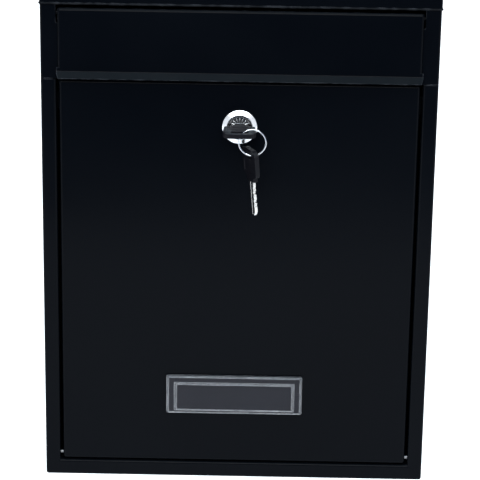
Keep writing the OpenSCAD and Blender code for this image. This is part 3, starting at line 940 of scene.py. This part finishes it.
def makeShank(name, nodeName, body, matrix):
    half, length = bladeHalf, key["bladeLength"]
    right = [(half, 0)]
    for i, depth in enumerate(key["cuts"]):
        y, d = key["firstCut"] + i * key["cutPitch"], depth * mm
        right += [(half, y - 0.7 * mm - d / 2), (half - d, y - 0.6 * mm), (half - d, y + 0.6 * mm),
                  (half, y + 0.7 * mm + d / 2)]
    right += [(half, length - key["tip"]), (key["tipHalf"], length)]
    outline = right + [(-x, y) for x, y in right[::-1]]
    thick = key["bladeThickness"] / 2
    made = toObject(extrude(outline, asDrawn, -thick, thick), name)
    grooves = []
    for side in (-1, 1):
        x, halfGroove = side * key["grooveX"], key["grooveHalf"]
        levels = (side * (thick - key["groove"] / 2), side * 2 * mm)
        grooves.append(box((x - halfGroove, 1 * mm, min(levels)),
                           (x + halfGroove, length + 1 * mm, max(levels))))
    made = combine(made, grooves, "DIFFERENCE")
    made.data.transform(matrix)
    return finishPiece(made, name, keyNickel, body, [nodeName], key["bladeBevel"])


ringLow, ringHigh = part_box("key_ring")
ringCentre = (ringLow + ringHigh) / 2
ring = {"radius": 9.3 * mm, "wire": 1 * mm, "width": 1.6 * mm, "gap": 0.02 * mm, "turns": 1.94,
        "hangPlay": 0.5 * mm, "hangX": -3.2 * mm, "hangTilt": -5, "hangTurn": -67}
inLock = Matrix.Translation(onLock((0, 0), key["proud"]))
hangPoint = Vector((ringCentre.x, ringCentre.y, ringCentre.z - ring["radius"] + ring["wire"] / 2))
hangY = key["length"] - key["eyeRim"] - ring["wire"] / 2 - ring["hangPlay"]
onRing = (Matrix.Translation(hangPoint) @ Matrix.Rotation(radians(ring["hangTilt"]), 4, "Y")
          @ Matrix.Rotation(radians(ring["hangTurn"]), 4, "Z") @ Matrix.Rotation(radians(-90), 4, "X")
          @ Matrix.Translation(Vector((ring["hangX"], hangY, 0))))
makeGrip("keyGrip", "key_bow", "key", inLock)
makeShank("keyShank", "key_blade", "key", inLock)
makeGrip("spareGrip", "spare_key_bow", "spare_key", onRing)
makeShank("spareShank", "spare_key_blade", "spare_key", onRing)


# Split ring: flattened wire wound twice, each turn half the ring's width, as a node tree

turnWidth = ring["width"] / 2
coilSizes = {"Turns": ring["turns"], "Wire Line": ring["radius"] - ring["wire"] / 2, "Rise": turnWidth,
             "Wire Width": turnWidth - ring["gap"], "Wire Depth": ring["wire"] - ring["gap"]}


def splitRingTree(name, material):
    tree, ins, outs = newGroup(name, "GeometryNodeTree", coilSizes, ["Geometry"], "Geometry")
    coil = addNode(tree, "GeometryNodeCurveSpiral")
    coil.inputs["Resolution"].default_value = 72
    wireInputs(tree, ins, (("Turns", "Rotations"), ("Wire Line", "Start Radius"),
                           ("Wire Line", "End Radius"), ("Rise", "Height")), coil)
    section = addNode(tree, "GeometryNodeCurvePrimitiveCircle")
    section.inputs["Resolution"].default_value = 14
    section.inputs["Radius"].default_value = 0.5
    size = addNode(tree, "ShaderNodeCombineXYZ")
    size.inputs["Z"].default_value = 1
    wireInputs(tree, ins, (("Wire Depth", "X"), ("Wire Width", "Y")), size)
    flatten = addNode(tree, "GeometryNodeTransform")
    feed(tree, size.outputs["Vector"], flatten.inputs["Scale"])
    feed(tree, section.outputs["Curve"], flatten.inputs["Geometry"])
    upright = addNode(tree, "GeometryNodeSetCurveNormal", mode="Z_UP")
    feed(tree, coil.outputs["Curve"], upright.inputs["Curve"])
    sweep = addNode(tree, "GeometryNodeCurveToMesh")
    sweep.inputs["Fill Caps"].default_value = True
    feed(tree, upright.outputs["Curve"], sweep.inputs["Curve"])
    feed(tree, flatten.outputs["Geometry"], sweep.inputs["Profile Curve"])
    paintAndReturn(tree, outs, sweep.outputs["Mesh"], material)
    return tree


def makeSplitRing():
    place = (Matrix.Translation(ringCentre) @ Matrix.Rotation(radians(90), 4, "X")
             @ Matrix.Translation(Vector((0, 0, -turnWidth / 2))))
    made = growFromNodes("splitRing", splitRingTree("splitRingTree", ringNickel), coilSizes, place)
    return finishPiece(made, "splitRing", ringNickel, "ring", ["key_ring"], 0)


makeSplitRing()
print("keys made")


# Name plate: a clear moulding with a raised rim, a groove and an inner ridge round its window

plate = {"windowHalf": 39.3 * mm, "windowLow": 11.4 * mm, "windowHigh": 7 * mm, "corner": 0.8 * mm,
         "thickness": 2.5 * mm, "sideHeight": 2.2 * mm, "groove": 1.7 * mm, "pane": 1.7 * mm,
         "studRadius": 1.4 * mm, "studLength": 4.2 * mm, "studMiddle": 1.9 * mm, "pocket": 0.8 * mm,
         "cardHalf": 41 * mm, "cardHigh": 11.4 * mm, "bevel": 0.1 * mm}
plateLow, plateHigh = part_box("nameplate_holder")


def makePlate():
    middle = (plateLow + plateHigh) / 2
    halfW, halfH = (plateHigh.x - plateLow.x) / 2, (plateHigh.z - plateLow.z) / 2
    full, groove = plate["thickness"], plate["groove"]
    # how far from the outside (0) to the window (1), and how proud
    section = [(0, 0), (0, plate["sideHeight"]), (0.05, full), (0.15, full), (0.21, groove),
               (0.76, groove), (0.82, full), (0.94, full), (1, plate["pane"])]
    bm = bmesh.new()
    rows = []
    for share, proud in section:
        side = halfW - share * (halfW - plate["windowHalf"])
        low = halfH - share * (halfH - plate["windowLow"])
        high = halfH - share * (halfH - plate["windowHigh"])
        outline = roundedRectangle(middle.x - side, middle.z - low, middle.x + side, middle.z + high,
                                   plate["corner"] * (1 - 0.5 * share))
        rows.append([bm.verts.new((q.x, frontY - proud, q.y)) for q in outline])
    for near, far in zip(rows, rows[1:]):
        joinRows(bm, near, far, True)
    bm.faces.new(rows[0])
    bm.faces.new(rows[-1])
    pocket = box((middle.x - plate["cardHalf"], frontY - plate["pocket"], middle.z - plate["cardHigh"]),
                 (middle.x + plate["cardHalf"], frontY + 1 * mm, middle.z + plate["cardHigh"]))
    made = combine(toObject(bm, "plateMoulding"), [pocket], "DIFFERENCE")
    studs = [rod((middle.x + side * door["studX"], frontY + plate["studMiddle"], middle.z), (0, 1, 0),
                 plate["studRadius"], plate["studLength"]) for side in (-1, 1)]
    made = combine(made, studs, "UNION")
    return finishPiece(made, "plateMoulding", clearPlastic, "door", ["nameplate_holder"],
                       plate["bevel"])


makePlate()
print("name plate made")


# CAD nodes that keep their own shape

keptNodes = {"back_panel": casingPaint, "cross_rail": casingPaint, "flap_brackets": casingPaint,
             "door_stops": casingPaint, "flap_rod": casingPaint, "rod_clips": drawnSteel,
             "door_pins": pinSteel, "nameplate_clips": drawnSteel, "lock_nut": zincPlate,
             "lock_cam": zincPlate, "cam_washer": zincPlate, "cam_screw": zincPlate,
             "lock_wafers": waferBrass, "name_card": cardStock}
for nodeName, material in keptNodes.items():
    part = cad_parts[nodeName]
    part.data.materials.clear()
    part.data.materials.append(material)
print("kept nodes painted")


# Studio: a pale floor, soft light from above, and a dim surround

studio = {"floorColour": (0.88, 0.885, 0.9), "floorRoughness": 0.8, "floorSheen": 0.1, "floorTone": 0.985,
          "floorFront": 0.95, "floorBack": 1.9, "floorSide": 2.2, "floorDrop": 140 * mm,
          "surround": (0.10, 0.15, 0.23), "backdrop": (1.0, 1.0, 1.0)}
softboxes = {
    "overhead": {"place": (0, 1.25, 2.2), "target": (0, 1.25, 0), "size": (4.4, 3.6), "power": 175},
    "frontTop": {"place": (0, -1.75, 1.15), "target": (0, -0.09, 0.05), "size": (2.2, 0.9), "power": 50},
    "skyStrip": {"place": (0, -0.85, 2.2), "target": (0, -0.09, 0.1), "size": (3, 1.2), "power": 42,
                 "colour": (0.62, 0.85, 1)},
    "behind": {"place": (0, 1.6, 0.8), "target": (0, -0.09, 0.1), "size": (4, 1.6), "power": 8},
    "leftPanel": {"place": (-1.2, -1.3, 0.35), "target": (0, -0.09, 0.02), "size": (0.8, 1.6), "power": 4},
    "rightPanel": {"place": (1.2, -1.3, 0.35), "target": (0, -0.09, 0.02), "size": (0.8, 1.6), "power": 4}}


def makeFloor():
    bm = bmesh.new()
    front, back, side = frontY - studio["floorFront"], studio["floorBack"], studio["floorSide"]
    corners = [(-side, front), (side, front), (side, back), (-side, back)]
    bm.faces.new([bm.verts.new((x, y, floorZ - studio["floorDrop"])) for x, y in corners])
    mesh = bpy.data.meshes.new("studioFloor")
    bm.to_mesh(mesh)
    bm.free()
    floor = bpy.data.objects.new("studioFloor", mesh)
    bpy.context.scene.collection.objects.link(floor)
    pale = studio["floorColour"]
    look = {"colour": pale, "Roughness": studio["floorRoughness"], "Specular IOR Level": studio["floorSheen"]}
    material, tree, shader = newMaterial("paleFloor", look)
    tone = noiseNode(tree, objectPlace(tree), 3, 2)
    deeper = tuple(c * studio["floorTone"] for c in pale)
    feed(tree, mixColour(tree, tone, pale, deeper), shader.inputs["Base Color"])
    mesh.materials.append(material)


def makeSoftbox(name, look):
    light = bpy.data.lights.new(name, "AREA")
    light.shape = "RECTANGLE"
    light.size, light.size_y = look["size"]
    light.energy = look["power"]
    light.color = look.get("colour", (1, 1, 1))
    made = bpy.data.objects.new(name, light)
    made.location = look["place"]
    made.rotation_mode = "QUATERNION"
    made.rotation_quaternion = (Vector(look["target"]) - made.location).to_track_quat("-Z", "Y")
    bpy.context.scene.collection.objects.link(made)


makeFloor()
for lightName, look in softboxes.items():
    makeSoftbox(lightName, look)


def makeWorld():
    # Seen directly the surround is as pale as the floor; what it lights and what mirrors it is dim
    world = bpy.data.worlds.new("studioSurround")
    world.use_nodes = True
    tree = world.node_tree
    seen = mixColour(tree, addNode(tree, "ShaderNodeLightPath").outputs["Is Camera Ray"],
                     studio["surround"], studio["backdrop"])
    feed(tree, seen, tree.nodes["Background"].inputs["Color"])
    bpy.context.scene.world = world


makeWorld()
bpy.context.scene.view_settings.view_transform = "Standard"


# Camera

camera = {"elevation": 20, "distance": 1.5535, "lens": 174.39, "sensor": 36, "yaw": -0.00585,
          "roll": 0.01577, "targetX": 1.89 * mm, "targetHeight": 175.1 * mm}


def makeCamera():
    lift, yaw = radians(camera["elevation"]), camera["yaw"]
    forward = Vector((sin(yaw) * cos(lift), cos(yaw) * cos(lift), -sin(lift)))
    target = Vector((camera["targetX"], frontY, floorZ + camera["targetHeight"]))
    data = bpy.data.cameras.new("studioCamera")
    data.lens = camera["lens"]
    data.sensor_width = camera["sensor"]
    made = bpy.data.objects.new("studioCamera", data)
    made.rotation_mode = "QUATERNION"
    turn = forward.to_track_quat("-Z", "Y").to_matrix() @ Matrix.Rotation(camera["roll"], 3, "Z")
    made.rotation_quaternion = turn.to_quaternion()
    made.location = target - camera["distance"] * forward
    bpy.context.scene.collection.objects.link(made)
    bpy.context.scene.camera = made


makeCamera()
print("studio made")
